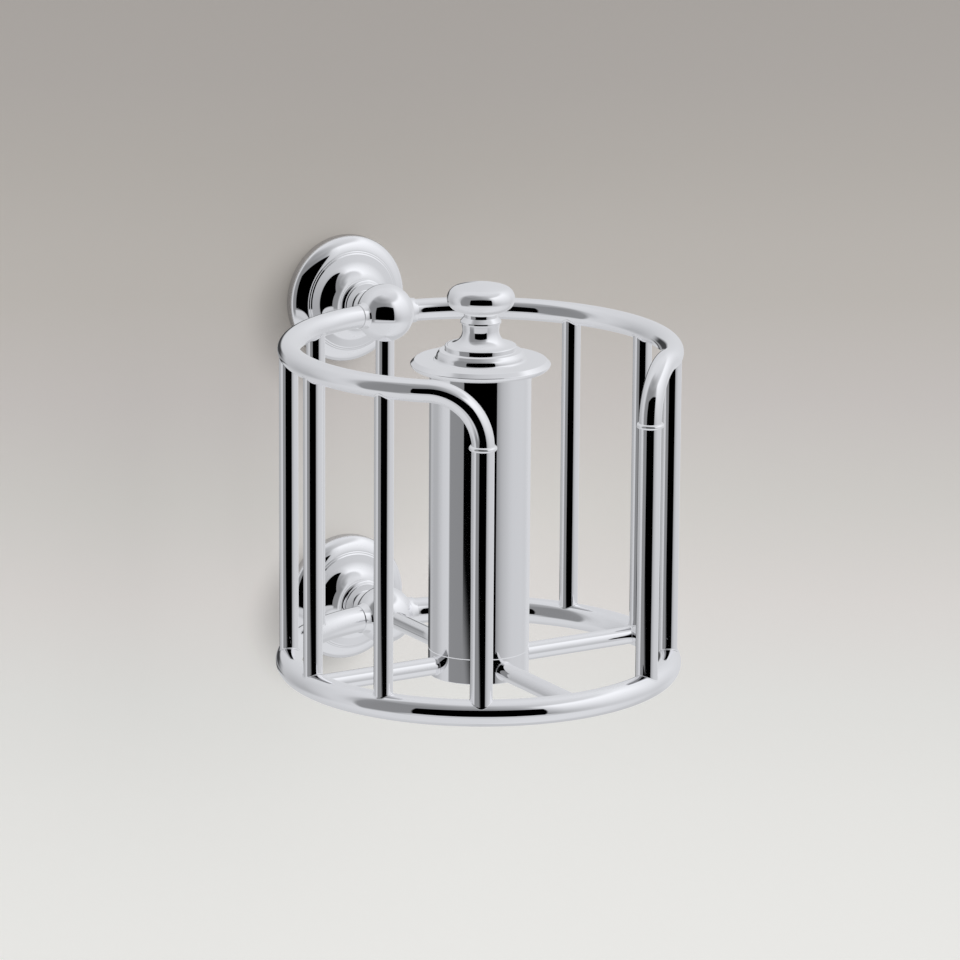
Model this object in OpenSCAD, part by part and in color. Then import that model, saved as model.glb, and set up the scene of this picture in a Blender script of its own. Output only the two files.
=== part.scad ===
// Vertical toilet paper holder: a round cage on two wall posts, with a lift-out spindle.
// Millimetres. The origin is on the wall, midway between the two posts. +Z is up, and the room is towards -Y.
// An angle round the cage is counted from the front, towards +X.

/* [Cage] */
// Diameter of both cage rings, measured on the middle of the rod
ring_d = 143; // [125:1:170]
// Height between the two rings, and between the two wall posts
ring_gap = 120; // [100:1:150]
// Thickness of the upper rail and of the two posts beside the opening
rail_d = 8.4; // [7.6:0.1:9]
// Thickness of the lower ring
base_rod_d = 10; // [9:0.1:11.5]
// Thickness of the upright bars
bar_d = 7.2; // [6:0.1:7.6]
// Thickness of the four spokes
spoke_d = 6.8; // [5.6:0.1:7.4]
// Thickness of the tenons on the ends of the bars and spokes
tenon_d = 4; // [3:0.1:4.6]
// How far a bar's tenon reaches into its ring
tenon_l = 4; // [3:0.1:4.6]

/* [Opening] */
// Radius of the bend that turns the rail down beside the opening
elbow_r = 20; // [15:0.5:24]
// Radius of the slight bend between the ring and that bend
ease_r = 30; // [25:1:40]
// Straight end of the rail below the bend
stub_l = 0.3; // [0.3:0.1:2]
// How much the slight bend thins the rod, on each side
ease_thin = 0.02; // [0.01:0.01:0.03]
// How far the thinned stretch runs into the rod's full thickness
ease_lap_l = 0.3; // [0.2:0.05:0.35]
// Thickness of the dowel that joins an opening post to the rail
dowel_d = 5; // [4:0.1:5.6]
// How far that dowel reaches into the rail
dowel_l = 5; // [3:0.1:6]
// Diameter of the bead over each of those joints
bead_d = 10.4; // [10:0.1:12.5]
// Height of that bead
bead_h = 1.9; // [1.5:0.1:2.8]

/* [Balls] */
// Distance from the wall to the middle of each ball
ball_reach = 34; // [32:0.5:42]
// Diameter of the balls
ball_d = 22.2; // [21:0.1:26]
// Distance from a ball's middle to the ends of the rods that it holds
rod_seat = 6.5; // [5.8:0.1:7.5]
// How far the shoulder round a rod stands out of its ball
shoulder_h = 1.2; // [0.6:0.1:2]
// Width of that shoulder's slope beyond the rod
shoulder_w = 2.2; // [1.2:0.1:2.6]
// How deep inside the ball that slope starts
shoulder_root = 0.3; // [0.2:0.05:0.5]
// Width of that shoulder's edge where the rod comes out
shoulder_lip = 0.5; // [0.3:0.1:0.9]

/* [Wall flange] */
// Diameter of each flange against the wall
flange_d = 49.6; // [48:0.2:60]
// Height of its rounded edge
flange_edge_h = 3.2; // [2.8:0.1:4.4]
// Width of the rounded band inside that edge
band_w = 6.4; // [5.8:0.1:8]
// Height of that band above the middle of the edge
band_h = 7.2; // [6:0.1:8]
// Width of the narrow ring between the band and the flange's face
step_w = 0.9; // [0.6:0.1:1.2]
// Height of the two small steps beside that ring, together
step_h = 0.6; // [0.4:0.1:0.9]
// Radius of the hollow bend from the flange's face into its nose
flange_cove_r = 7.5; // [6.5:0.1:8]
// Whole height of the flange, from the wall to the neck
flange_h = 15.6; // [14.8:0.1:18]
// Diameter of the flange's front face, where the neck starts
flange_nose_d = 18.4; // [17.4:0.1:20]

/* [Neck] */
// Diameter of the ring at the back of the neck
neck_ring_d = 17.6; // [17.2:0.1:19]
// Width of that ring
neck_ring_w = 1.4; // [1:0.1:2]
// Diameter of the collar in front of the ring
neck_collar_d = 16.4; // [15.8:0.1:17]
// Width of the collar
neck_collar_w = 1.9; // [1.4:0.1:2.6]
// Depth of the grooves on both sides of the collar
neck_groove = 0.7; // [0.4:0.1:1]
// Width of those grooves
neck_groove_w = 0.4; // [0.3:0.1:0.8]
// Diameter of the slimmest place, between the collar and the ball
neck_waist_d = 11.4; // [10.6:0.1:13]
// Diameter of the neck where it meets the ball
neck_end_d = 13; // [12.2:0.1:14]

/* [Wall fixing] */
// Diameter of the plate behind each flange
plate_d = 38; // [34:0.2:40]
// Thickness of that plate
plate_h = 4.4; // [3.6:0.1:5]
// Distance between the two screws of a plate
screw_gap = 22; // [19:0.5:24]
// Thickness of the wall screws
screw_d = 4; // [3.5:0.1:4.6]
// Length of the wall screws
screw_l = 30; // [20:1:50]
// Diameter of their countersunk heads
screw_head_d = 8; // [7:0.1:9]
// Depth of the cone under those heads
screw_head_h = 2.2; // [1.8:0.1:2.8]
// Thickness of the bolt that ties a flange, its neck and its ball together
bolt_d = 6; // [5:0.1:7]
// Diameter of that bolt's head
bolt_head_d = 10; // [9:0.1:12]
// Height of that bolt's head
bolt_head_h = 4; // [3:0.1:4.5]
// Thickness of the grub screw under each flange
grub_d = 3; // [2:0.1:3.4]
// How far that screw sits inside the flange's edge
grub_depth = 0.9; // [0.6:0.1:1.6]

/* [Hub] */
// Height of the hub that the four spokes hold
hub_h = 9.6; // [9:0.1:13]
// Distance from the middle of the hub to the inner ends of the spokes
spoke_seat = 11; // [10:0.5:13]
// Diameter of the peg on the hub
peg_d = 18; // [14:0.5:20]
// Height of the peg
peg_h = 30; // [26:0.5:40]
// Thickness of the screw that holds the peg
peg_screw_d = 5; // [4:0.5:6]
// Diameter of that screw's head
peg_screw_head_d = 9.4; // [8:0.1:11]
// How far that screw reaches into the peg
peg_screw_grip = 14; // [10:0.5:18]

/* [Guide bush] */
// Diameter of the waist between the bush's two bearing lands
bush_waist_d = 29; // [26:0.5:32]
// Height of each bearing land
bush_land_h = 5; // [4:0.5:7]
// Width of the retaining ring on the peg
clip_w = 3.2; // [2.5:0.1:4]
// Thickness of the retaining ring
clip_h = 1.2; // [1:0.1:1.6]
// How deep the retaining ring sits in the peg
clip_depth = 0.9; // [0.6:0.1:1.4]
// Height of the peg above its retaining ring
clip_shelf = 1.6; // [1:0.1:3]
// Angle of the gap in the retaining ring
clip_gap_angle = 50; // [30:5:80]

/* [Spindle] */
// Diameter of the spindle tube, and of the hub below it
tube_d = 38.1; // [34:0.1:40]
// Thickness of the tube's wall
tube_wall = 1.05; // [0.8:0.05:1.6]
// Length of the tube
tube_l = 107.8; // [95:0.1:118]
// Height of the plug inside the tube's upper end
plug_h = 8; // [6:0.5:12]
// Diameter of the disc on the tube
disc_d = 52.6; // [48:0.2:60]
// Thickness of the disc
disc_h = 3.4; // [3:0.1:4.4]
// Width of the slope between the disc's flat top and its edge
disc_rim_w = 1.1; // [0.8:0.1:1.6]
// Height of the rounded stretch under that edge
disc_under_h = 1.8; // [1.4:0.1:2.2]
// Thickness of the stud that ties the spindle's pieces together
stud_d = 6; // [5:0.1:7]
// How far that stud reaches into the knob
stud_grip = 6; // [4:0.5:8]

/* [Finial] */
// Diameter of the finial's foot, above its cove
foot_d = 33.2; // [30:0.2:37]
// Height of the foot
foot_h = 3.5; // [3.2:0.1:4.4]
// Radius of the cove between the foot and the disc
foot_cove = 1; // [0.6:0.1:1.2]
// Radius of the foot's rounded side, below its slope
foot_side_r = 2.6; // [2:0.1:3]
// Diameter of the step on the foot
tier_d = 26.8; // [25.6:0.1:28]
// Height of that step
tier_h = 2.1; // [1.6:0.1:2.8]
// Radius of that step's upper edge
tier_round = 0.5; // [0.3:0.1:0.8]
// Radius of the cove at that step's foot
tier_cove = 0.3; // [0.2:0.05:0.5]
// How far the side of that step leans outwards on its way up
tier_lean = 0.1; // [0.05:0.01:0.2]
// Height of the finial's neck, from the step to the knob
finial_neck_h = 12.3; // [11.6:0.1:14]
// Diameter of the neck's slimmest place
finial_waist_d = 13.7; // [12.8:0.1:14.6]
// Height of the flare that widens from there down to the step
flare_h = 5.6; // [4.8:0.1:6.2]
// Width of that flare
flare_w = 5.7; // [5:0.1:6]
// Diameter of the collar on the neck
collar_d = 15.3; // [14.9:0.1:16.4]
// Height of the collar's edge
collar_h = 1; // [0.7:0.1:1.4]
// Distance from the collar's edge up to the knob
collar_drop = 3.2; // [2.8:0.1:3.6]
// Diameter of the small ring between the collar and the knob
reel_d = 12.6; // [12:0.1:13.4]
// Height of that ring
reel_h = 1.2; // [0.8:0.1:1.5]
// Diameter of the neck's top, inside the knob's underside
reel_top_d = 11; // [10:0.1:11.6]
// Diameter of the knob
knob_d = 25.4; // [23:0.1:29]
// Height that the knob would have without its flat underside
knob_oval_h = 11.6; // [10:0.1:14]
// Radius of the knob's rounded side
knob_side_r = 4.6; // [3.8:0.1:4.8]

/* [Clearances] */
// Gap between pieces that are fixed in one another
fit_gap = 0.05; // [0.02:0.01:0.08]
// Gap between pieces that turn or slide on one another
run_gap = 0.05; // [0.02:0.01:0.08]
// Gap between a flange and the plate inside it
plate_gap = 0.3; // [0.2:0.1:0.6]
// Seam between the hub and the spindle
seam_gap = 0.2; // [0.1:0.05:0.3]
// Height between the guide bush and the pieces above and below it
bush_gap = 0.3; // [0.2:0.1:0.5]

/* [Hidden] */
// Overrun of every cut past the face that it opens
over = 1;
// Steps in each rounded stretch of a turned outline
arc_steps = 10;
$fn = 96;

// The cage
ring_r = ring_d / 2;
rail_r = rail_d / 2;
base_r = base_rod_d / 2;
axis_reach = ball_reach + ring_r;
upper_z = ring_gap / 2;
lower_z = -ring_gap / 2;
bar_pitch = 360 / 12;
opening_angle = bar_pitch;
// The angle that a ball's rods leave free on each side of the back
seat_angle = asin(rod_seat / ring_r);
// The spoke's tenon stops short of the bar's tenon in the lower ring
spoke_tenon_l = base_r - tenon_d / 2 - 4 * fit_gap;
// The rail leaves its ring on the slight bend, whose middle lies on the ring's radius at ease_angle
bend_in = asin((ease_r + elbow_r * elbow_r / ring_d) / norm([elbow_r, ease_r])) - atan2(ease_r, elbow_r);
ease_across = elbow_r * cos(bend_in) - ease_r * sin(bend_in);
ease_out = ring_r - elbow_r * sin(bend_in) - ease_r * cos(bend_in);
ease_angle = opening_angle + atan2(ease_across, ease_out);
ease_turn = ease_angle - opening_angle - bend_in;
post_top_z = upper_z - elbow_r - stub_l;

// The balls and what is behind them
ball_r = ball_d / 2;
edge_r = flange_edge_h / 2;
band_end_angle = 78;
band_in_r = flange_d / 2 - band_w * (1 - cos(band_end_angle));
band_top = edge_r + band_h * sin(band_end_angle);
dome_r = band_in_r - step_w;
dome_foot = band_top + step_h;
nose_r = flange_nose_d / 2;
neck_end = ball_reach - sqrt(ball_r * ball_r - neck_end_d * neck_end_d / 4);
bolt_head_base = plate_h + plate_gap;
bolt_pocket_h = bolt_head_base + bolt_head_h + plate_gap;
hex_share = 0.5;
recess_share = 0.55;
slot_share = 0.16;
shank_share = 0.8;
cone_share = 1.2;
fine_share = 0.4;

// The hub, the peg and the guide bush
hub_top = lower_z + hub_h / 2;
hub_bottom = lower_z - hub_h / 2;
peg_r = peg_d / 2;
bore_r = tube_d / 2 - tube_wall;
bush_bottom = hub_top + bush_gap;
bush_top = hub_top + peg_h - clip_h - 2 * bush_gap - clip_shelf;
clip_bottom = bush_top + bush_gap;
peg_head_h = (peg_screw_head_d - peg_screw_d) / 2;

// The spindle
tube_bottom = hub_top + seam_gap;
tube_top = tube_bottom + tube_l;
disc_top = tube_top + disc_h;
foot_top = disc_top + foot_h;
tier_top = foot_top + tier_h;
neck_top = tier_top + finial_neck_h;
stud_bottom = tube_top - plug_h;

// The knob's side turns into a flatter crown, above and below
knob_half_h = knob_oval_h / 2;
side_middle = knob_d / 2 - knob_side_r;
crown_r = (side_middle * side_middle + knob_half_h * knob_half_h - knob_side_r * knob_side_r)
  / (knob_oval_h - 2 * knob_side_r);
crown_drop = crown_r - knob_half_h;
side_angle = atan2(crown_drop, side_middle);
crown_angle = side_angle + (90 - side_angle) / arc_steps;
knob_sink = sqrt(crown_r * crown_r - reel_top_d * reel_top_d / 4) - crown_drop;

// Points of an elliptical stretch of an outline, from one angle to another
function arc(middle, radii, from, to) = [
  for (i = [0 : arc_steps])
    let (a = from + (to - from) * i / arc_steps)
    [middle.x + radii.x * cos(a), middle.y + radii.y * sin(a)]
];

module chrome() color("gainsboro") children();
module steel() color("darkgray") children();
module nylon() color("whitesmoke") children();

// Moves what stands on the origin to the cage's axis
module on_axis() translate([0, -axis_reach, 0]) children();

// Moves it to a place on the cage's rings
module on_ring(angle) on_axis() rotate([0, 0, angle]) translate([0, -ring_r, 0]) children();

// Turns what stands up from the origin so that it comes out of the wall at a height
module out_of_wall(z) translate([0, 0, z]) rotate([90, 0, 0]) children();

// A solid turned from an outline of radii and heights
module turned(outline) rotate_extrude() polygon(outline);

// A rod bent to a circle round the Z axis, over an angle that starts at the front
module bent_rod(bend_r, rod_r, start, angle)
  rotate([0, 0, start - 90]) rotate_extrude(angle = angle) translate([bend_r, 0]) circle(r = rod_r);

// The rail on the left: the ring, the slight bend and the bend down to the opening post
module left_rail_rod() {
  lap_angle = ease_lap_l / ease_r * 180 / PI;
  on_axis() translate([0, 0, upper_z]) {
    bent_rod(ring_r, rail_r, seat_angle - 180, 180 - seat_angle - ease_angle);
    rotate([0, 0, -ease_angle]) translate([0, ease_r - ring_r, 0])
      bent_rod(ease_r, rail_r - ease_thin, -lap_angle, ease_turn + 2 * lap_angle);
    rotate([0, 0, -opening_angle]) translate([0, -ring_r, 0]) rotate([0, 0, 180 - bend_in]) {
      translate([elbow_r, 0, -elbow_r]) rotate([90, 0, 0]) rotate([0, 0, 90])
        rotate_extrude(angle = 90) translate([elbow_r, 0]) circle(r = rail_r);
      translate([0, 0, -elbow_r - stub_l]) cylinder(r = rail_r, h = stub_l);
    }
  }
}

// The sockets that the tenons of the bars and the dowel of the post need in the left rail
module left_rail_sockets() {
  for (i = [2 : 5])
    on_ring(-i * bar_pitch) translate([0, 0, upper_z - rail_d])
      cylinder(d = tenon_d + 2 * fit_gap, h = rail_r + tenon_l + fit_gap);
  on_ring(-opening_angle) translate([0, 0, post_top_z - over])
    cylinder(d = dowel_d + 2 * fit_gap, h = over + dowel_l + fit_gap);
}

module left_rail() chrome() difference() {
  left_rail_rod();
  left_rail_sockets();
}

module rail_left() left_rail();
module rail_right() mirror([1, 0, 0]) left_rail();

// The lower ring's rod, open at the back where its ends sit in the ball
module base_rod(gap)
  on_axis() translate([0, 0, lower_z])
    bent_rod(ring_r, base_r + gap, seat_angle - 180, 360 - 2 * seat_angle);

module base_ring() chrome() difference() {
  base_rod(0);
  for (i = [-5 : 5])
    if (i != 0)
      on_ring(i * bar_pitch) translate([0, 0, lower_z + base_r - tenon_l - fit_gap])
        cylinder(d = tenon_d + 2 * fit_gap, h = tenon_l + over);
  for (angle = [-90, 0, 90])
    on_ring(angle) translate([0, base_rod_d, lower_z]) rotate([90, 0, 0])
      cylinder(d = tenon_d + 2 * fit_gap, h = base_r + spoke_tenon_l + fit_gap);
}

// An upright between the two rings, cut to fit over both rods, with a tenon at each end
module bar(angle) chrome() {
  difference() {
    on_ring(angle) translate([0, 0, lower_z]) cylinder(d = bar_d, h = ring_gap);
    base_rod(fit_gap);
    on_axis() translate([0, 0, upper_z]) bent_rod(ring_r, rail_r + fit_gap, angle - bar_pitch, 2 * bar_pitch);
  }
  on_ring(angle) translate([0, 0, lower_z + base_r - tenon_l])
    cylinder(d = tenon_d, h = ring_gap - base_r - rail_r + 2 * tenon_l);
}

module bar_left_front() bar(-2 * bar_pitch);
module bar_left_side() bar(-3 * bar_pitch);
module bar_left_rear() bar(-4 * bar_pitch);
module bar_left_wall() bar(-5 * bar_pitch);
module bar_right_front() bar(2 * bar_pitch);
module bar_right_side() bar(3 * bar_pitch);
module bar_right_rear() bar(4 * bar_pitch);
module bar_right_wall() bar(5 * bar_pitch);

// The bar at the back runs from ball to ball
module bar_back() chrome()
  on_ring(180) translate([0, 0, lower_z + rod_seat]) cylinder(d = bar_d, h = ring_gap - 2 * rod_seat);

// A post beside the opening: it stands on the lower ring, and its dowel goes up into the rail
module opening_post(angle) chrome() {
  difference() {
    on_ring(angle) translate([0, 0, lower_z]) cylinder(d = rail_d, h = post_top_z - lower_z);
    base_rod(fit_gap);
  }
  on_ring(angle) translate([0, 0, lower_z + base_r - tenon_l])
    cylinder(d = tenon_d, h = tenon_l + rail_r);
  on_ring(angle) translate([0, 0, post_top_z - dowel_l]) cylinder(d = dowel_d, h = 2 * dowel_l);
}

module opening_post_left() opening_post(-opening_angle);
module opening_post_right() opening_post(opening_angle);

// A half-round bead slipped over the joint between a post and the rail
module bead(angle) chrome()
  on_ring(angle) translate([0, 0, post_top_z]) difference() {
    turned(concat(
      [[rail_r / 2, -bead_h / 2], [rail_r, -bead_h / 2]],
      arc([rail_r, 0], [bead_d / 2 - rail_r, bead_h / 2], -90, 90),
      [[rail_r / 2, bead_h / 2]]
    ));
    cylinder(d = rail_d + 2 * fit_gap, h = bead_h + over, center = true);
  }

module bead_left() bead(-opening_angle);
module bead_right() bead(opening_angle);

// A spoke: its inner end sits in the hub, its outer end fits over the lower ring with a tenon
module spoke(angle) chrome() {
  difference() {
    on_axis() rotate([0, 0, angle]) translate([0, -spoke_seat, lower_z]) rotate([90, 0, 0])
      cylinder(d = spoke_d, h = ring_r - spoke_seat);
    base_rod(fit_gap);
  }
  on_axis() rotate([0, 0, angle]) translate([0, -spoke_seat, lower_z]) rotate([90, 0, 0])
    cylinder(d = tenon_d, h = ring_r - base_r + spoke_tenon_l - spoke_seat);
}

module spoke_front() spoke(0);
module spoke_left() spoke(-90);
module spoke_right() spoke(90);

// The back spoke ends inside the lower ball
module spoke_back() chrome()
  on_axis() translate([0, spoke_seat, lower_z]) rotate([-90, 0, 0])
    cylinder(d = spoke_d, h = ring_r - rod_seat - spoke_seat);

// The shoulder round a rod that leaves a ball upwards: a hollow slope from the ball to the rod
module shoulder(rod_r) {
  foot_r = rod_r + shoulder_w;
  foot_z = sqrt(ball_r * ball_r - foot_r * foot_r) - shoulder_root;
  lip_r = rod_r + shoulder_lip;
  turned(concat(
    [[0, 0], [foot_r, foot_z]],
    arc([foot_r, ball_r + shoulder_h], [foot_r - lip_r, ball_r + shoulder_h - foot_z], 270, 180),
    [[0, ball_r + shoulder_h]]
  ));
}

// A ball with the neck's flat at the back. The rods' sockets are cut by their own rods.
module ball(z, side_rod_r) chrome() difference() {
  translate([0, -ball_reach, z]) {
    rotate([90, 0, 0]) rotate([0, 0, z > 0 ? 90 : -90]) sphere(r = ball_r);
    for (side = [-1, 1]) rotate([0, 0, -side * seat_angle]) rotate([0, side * 90, 0]) shoulder(side_rod_r);
    rotate([z > 0 ? 180 : 0, 0, 0]) shoulder(bar_d / 2);
    if (z < 0) rotate([90, 0, 0]) shoulder(spoke_d / 2);
  }
  on_axis() translate([0, 0, z]) {
    for (side = [-1, 1])
      bent_rod(ring_r, side_rod_r + fit_gap, side > 0 ? 90 : seat_angle - 180, 90 - seat_angle);
  }
  translate([0, -ball_reach, z]) {
    rotate([z > 0 ? 180 : 0, 0, 0]) translate([0, 0, rod_seat - fit_gap])
      cylinder(d = bar_d + 2 * fit_gap, h = ball_r);
    if (z < 0) rotate([90, 0, 0]) translate([0, 0, rod_seat - fit_gap])
      cylinder(d = spoke_d + 2 * fit_gap, h = ball_r);
    rotate([-90, 0, 0]) translate([0, 0, rod_seat - fit_gap]) cylinder(d = bolt_d + 2 * fit_gap, h = ball_r);
    rotate([-90, 0, 0]) translate([0, 0, ball_reach - neck_end]) cylinder(d = ball_d, h = ball_r);
  }
}

module ball_upper() ball(upper_z, rail_r);
module ball_lower() ball(lower_z, base_r);

// The neck between flange and ball: a ring, a collar between two grooves, and a hollow waist
module neck(z) {
  ring_end = flange_h + neck_ring_w;
  collar_start = ring_end + neck_groove_w;
  collar_end = collar_start + neck_collar_w;
  waist_start = collar_end + neck_groove_w;
  ring_nr = neck_ring_d / 2;
  collar_nr = neck_collar_d / 2;
  waist_r = neck_waist_d / 2;
  start_r = collar_nr - neck_groove / 2;
  waist_z = waist_start + (neck_end - waist_start) * recess_share;
  chrome() out_of_wall(z) difference() {
    turned(concat(
      [[0, flange_h + fit_gap]],
      arc([ring_nr - neck_groove, flange_h + neck_ring_w / 2], [neck_groove, neck_ring_w / 2 - fit_gap], -90, 90),
      [[collar_nr - neck_groove, ring_end], [collar_nr - neck_groove, collar_start]],
      arc([collar_nr - neck_groove, collar_start + neck_collar_w / 2], [neck_groove, neck_collar_w / 2], -80, 80),
      [[collar_nr - neck_groove, collar_end], [collar_nr - neck_groove, waist_start]],
      arc([start_r, waist_z], [start_r - waist_r, waist_z - waist_start], 270, 180),
      arc([neck_end_d / 2, waist_z], [neck_end_d / 2 - waist_r, neck_end - waist_z - fit_gap], 180, 90),
      [[0, neck_end - fit_gap]]
    ));
    cylinder(d = bolt_d + 2 * fit_gap, h = ball_reach);
  }
}

module neck_upper() neck(upper_z);
module neck_lower() neck(lower_z);

// The flange: a rounded edge and band, a small step, and a hollow slope up to the neck.
// Its hollow fits over the wall plate and the bolt's head.
module flange(z) chrome() {
  face_angle = 7;
  nose_angle = 78;
  cove_r = nose_r + flange_cove_r * sin(nose_angle);
  cove_h = flange_h + flange_cove_r * cos(nose_angle);
  recess_r = plate_d / 2 + plate_gap;
  pocket_r = bolt_head_d / 2 + plate_gap;
  hole_r = bolt_d / 2 + fit_gap;
  difference() {
    out_of_wall(z) turned(concat(
      [[recess_r, bolt_head_base], [recess_r, 0]],
      arc([flange_d / 2 - edge_r, edge_r], [edge_r, edge_r], -90, 0),
      arc([flange_d / 2 - band_w, edge_r], [band_w, band_h], 0, band_end_angle),
      [[band_in_r, band_top + step_h * fine_share], [dome_r, dome_foot - step_h * fine_share]],
      [[dome_r, dome_foot]],
      arc([cove_r, cove_h], [flange_cove_r, flange_cove_r], 270 - face_angle, 270 - nose_angle),
      [[hole_r, flange_h], [hole_r, bolt_pocket_h], [pocket_r, bolt_pocket_h], [pocket_r, bolt_head_base]]
    ));
    translate([0, -plate_h / 2, z - flange_d])
      cylinder(d = grub_d + 2 * fit_gap, h = flange_d - plate_d / 2);
  }
}

module flange_upper() flange(upper_z);
module flange_lower() flange(lower_z);

// The grub screw under a flange: its point presses on the edge of the wall plate
module grub_screw(z) {
  grub_l = flange_d / 2 - grub_depth - plate_d / 2 - fit_gap;
  steel() translate([0, -plate_h / 2, z - plate_d / 2 - fit_gap - grub_l]) difference() {
    cylinder(d = grub_d, h = grub_l);
    translate([0, 0, -over]) cylinder(d = grub_d * hex_share, h = over + grub_l * hex_share, $fn = 6);
  }
}

module grub_screw_upper() grub_screw(upper_z);
module grub_screw_lower() grub_screw(lower_z);

// The bolt that ties flange, neck and ball together, with a hexagon socket in its head
module tie_bolt(z) steel() out_of_wall(z) difference() {
  union() {
    translate([0, 0, bolt_pocket_h - bolt_head_h - fit_gap]) cylinder(d = bolt_head_d, h = bolt_head_h);
    translate([0, 0, bolt_pocket_h - bolt_head_h - fit_gap])
      cylinder(d = bolt_d, h = ball_reach - rod_seat - bolt_pocket_h + bolt_head_h);
  }
  translate([0, 0, bolt_pocket_h - bolt_head_h - over])
    cylinder(d = bolt_head_d * hex_share, h = over + bolt_head_h * hex_share, $fn = 6);
}

module tie_bolt_upper() tie_bolt(upper_z);
module tie_bolt_lower() tie_bolt(lower_z);

// A cone that opens to a screw head, from its slim end up
module head_cone(gap)
  cylinder(d1 = screw_d + 2 * gap, d2 = screw_head_d + 2 * gap, h = screw_head_h);

// The plate that the two screws hold on the wall
module wall_plate(z) steel() out_of_wall(z) difference() {
  cylinder(d = plate_d, h = plate_h);
  for (side = [-1, 1]) translate([side * screw_gap / 2, 0, 0]) {
    translate([0, 0, -over]) cylinder(d = screw_d + 4 * fit_gap, h = plate_h + 2 * over);
    translate([0, 0, plate_h - screw_head_h]) head_cone(2 * fit_gap);
    translate([0, 0, plate_h]) cylinder(d = screw_head_d + 4 * fit_gap, h = over);
  }
}

module wall_plate_upper() wall_plate(upper_z);
module wall_plate_lower() wall_plate(lower_z);

// The two screws of a plate: a flat cross-slotted head, a slim shank in the plate, and the thread's full
// thickness from the wall's face to the point
module wall_screws(z) steel() out_of_wall(z)
  for (side = [-1, 1]) translate([side * screw_gap / 2, 0, plate_h - screw_l]) difference() {
    union() {
      cylinder(d1 = screw_d * fine_share, d2 = screw_d, h = screw_d * cone_share);
      translate([0, 0, screw_d * cone_share])
        cylinder(d = screw_d, h = screw_l - plate_h - screw_d * cone_share);
      translate([0, 0, screw_l - plate_h]) cylinder(d = screw_d * shank_share, h = plate_h - screw_head_h);
      translate([0, 0, screw_l - screw_head_h]) head_cone(0);
    }
    for (turn = [0, 90]) rotate([0, 0, turn]) translate([0, 0, screw_l])
      cube([screw_head_d * recess_share, screw_head_d * slot_share, screw_head_h], center = true);
  }

module wall_screws_upper() wall_screws(upper_z);
module wall_screws_lower() wall_screws(lower_z);

// The hub, with a socket for each spoke and a countersunk hole for the peg's screw
module hub() chrome() on_axis() difference() {
  translate([0, 0, hub_bottom]) cylinder(d = tube_d, h = hub_h);
  for (angle = [0 : 90 : 270])
    rotate([0, 0, angle]) translate([0, -spoke_seat + fit_gap, lower_z]) rotate([90, 0, 0])
      cylinder(d = spoke_d + 2 * fit_gap, h = tube_d);
  translate([0, 0, hub_bottom - over]) cylinder(d = peg_screw_d + 2 * fit_gap, h = hub_h + 2 * over);
  translate([0, 0, hub_bottom])
    cylinder(d1 = peg_screw_head_d + 2 * fit_gap, d2 = peg_screw_d + 2 * fit_gap, h = peg_head_h);
}

// The screw that holds the peg on the hub, from below
module peg_screw() steel() on_axis() translate([0, 0, hub_bottom]) difference() {
  union() {
    cylinder(d1 = peg_screw_head_d, d2 = peg_screw_d, h = peg_head_h);
    cylinder(d = peg_screw_d, h = hub_h + peg_screw_grip);
  }
  translate([0, 0, -over]) cylinder(d = peg_screw_head_d * fine_share, h = over + peg_head_h, $fn = 6);
}

// The peg that the guide bush turns on, with a groove for the retaining ring
module peg() steel() on_axis() difference() {
  translate([0, 0, hub_top]) cylinder(r = peg_r, h = peg_h);
  translate([0, 0, hub_top - over])
    cylinder(d = peg_screw_d + 2 * fit_gap, h = over + peg_screw_grip + fit_gap);
  translate([0, 0, clip_bottom - fit_gap]) difference() {
    cylinder(r = peg_r + over, h = clip_h + 2 * fit_gap);
    cylinder(r = peg_r - clip_depth - fit_gap, h = clip_h + 2 * fit_gap);
  }
}

// The open spring ring that keeps the guide bush on the peg
module retaining_ring() steel() on_axis() translate([0, 0, clip_bottom])
  rotate([0, 0, clip_gap_angle / 2 - 90])
    rotate_extrude(angle = 360 - clip_gap_angle)
      translate([peg_r - clip_depth, 0]) square([clip_w, clip_h]);

// The guide bush: two lands that fit the tube's bore, and a waist between them
module guide_bush() {
  land_r = bore_r - run_gap;
  nylon() on_axis() translate([0, 0, bush_bottom]) difference() {
    turned([
      [0, 0], [land_r, 0], [land_r, bush_land_h], [bush_waist_d / 2, bush_land_h + land_r - bush_waist_d / 2],
      [bush_waist_d / 2, bush_top - bush_bottom - bush_land_h - land_r + bush_waist_d / 2],
      [land_r, bush_top - bush_bottom - bush_land_h], [land_r, bush_top - bush_bottom],
      [0, bush_top - bush_bottom]
    ]);
    translate([0, 0, -over]) cylinder(r = peg_r + run_gap, h = peg_h + 2 * over);
  }
}

// The spindle tube that the roll's core slips over
module spindle_tube() chrome() on_axis() translate([0, 0, tube_bottom]) difference() {
  cylinder(d = tube_d, h = tube_l);
  translate([0, 0, -over]) cylinder(r = bore_r, h = tube_l + 2 * over);
}

// The plug in the tube's upper end, tapped for the stud
module tube_plug() steel() on_axis() translate([0, 0, tube_top - plug_h]) difference() {
  cylinder(r = bore_r - fit_gap, h = plug_h);
  translate([0, 0, -over]) cylinder(d = stud_d + 2 * fit_gap, h = plug_h + 2 * over);
}

// The hole for the stud through a piece of the spindle, from one height to another
module stud_hole(low, high)
  translate([0, 0, low - over]) cylinder(d = stud_d + 2 * fit_gap, h = high - low + 2 * over);

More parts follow.
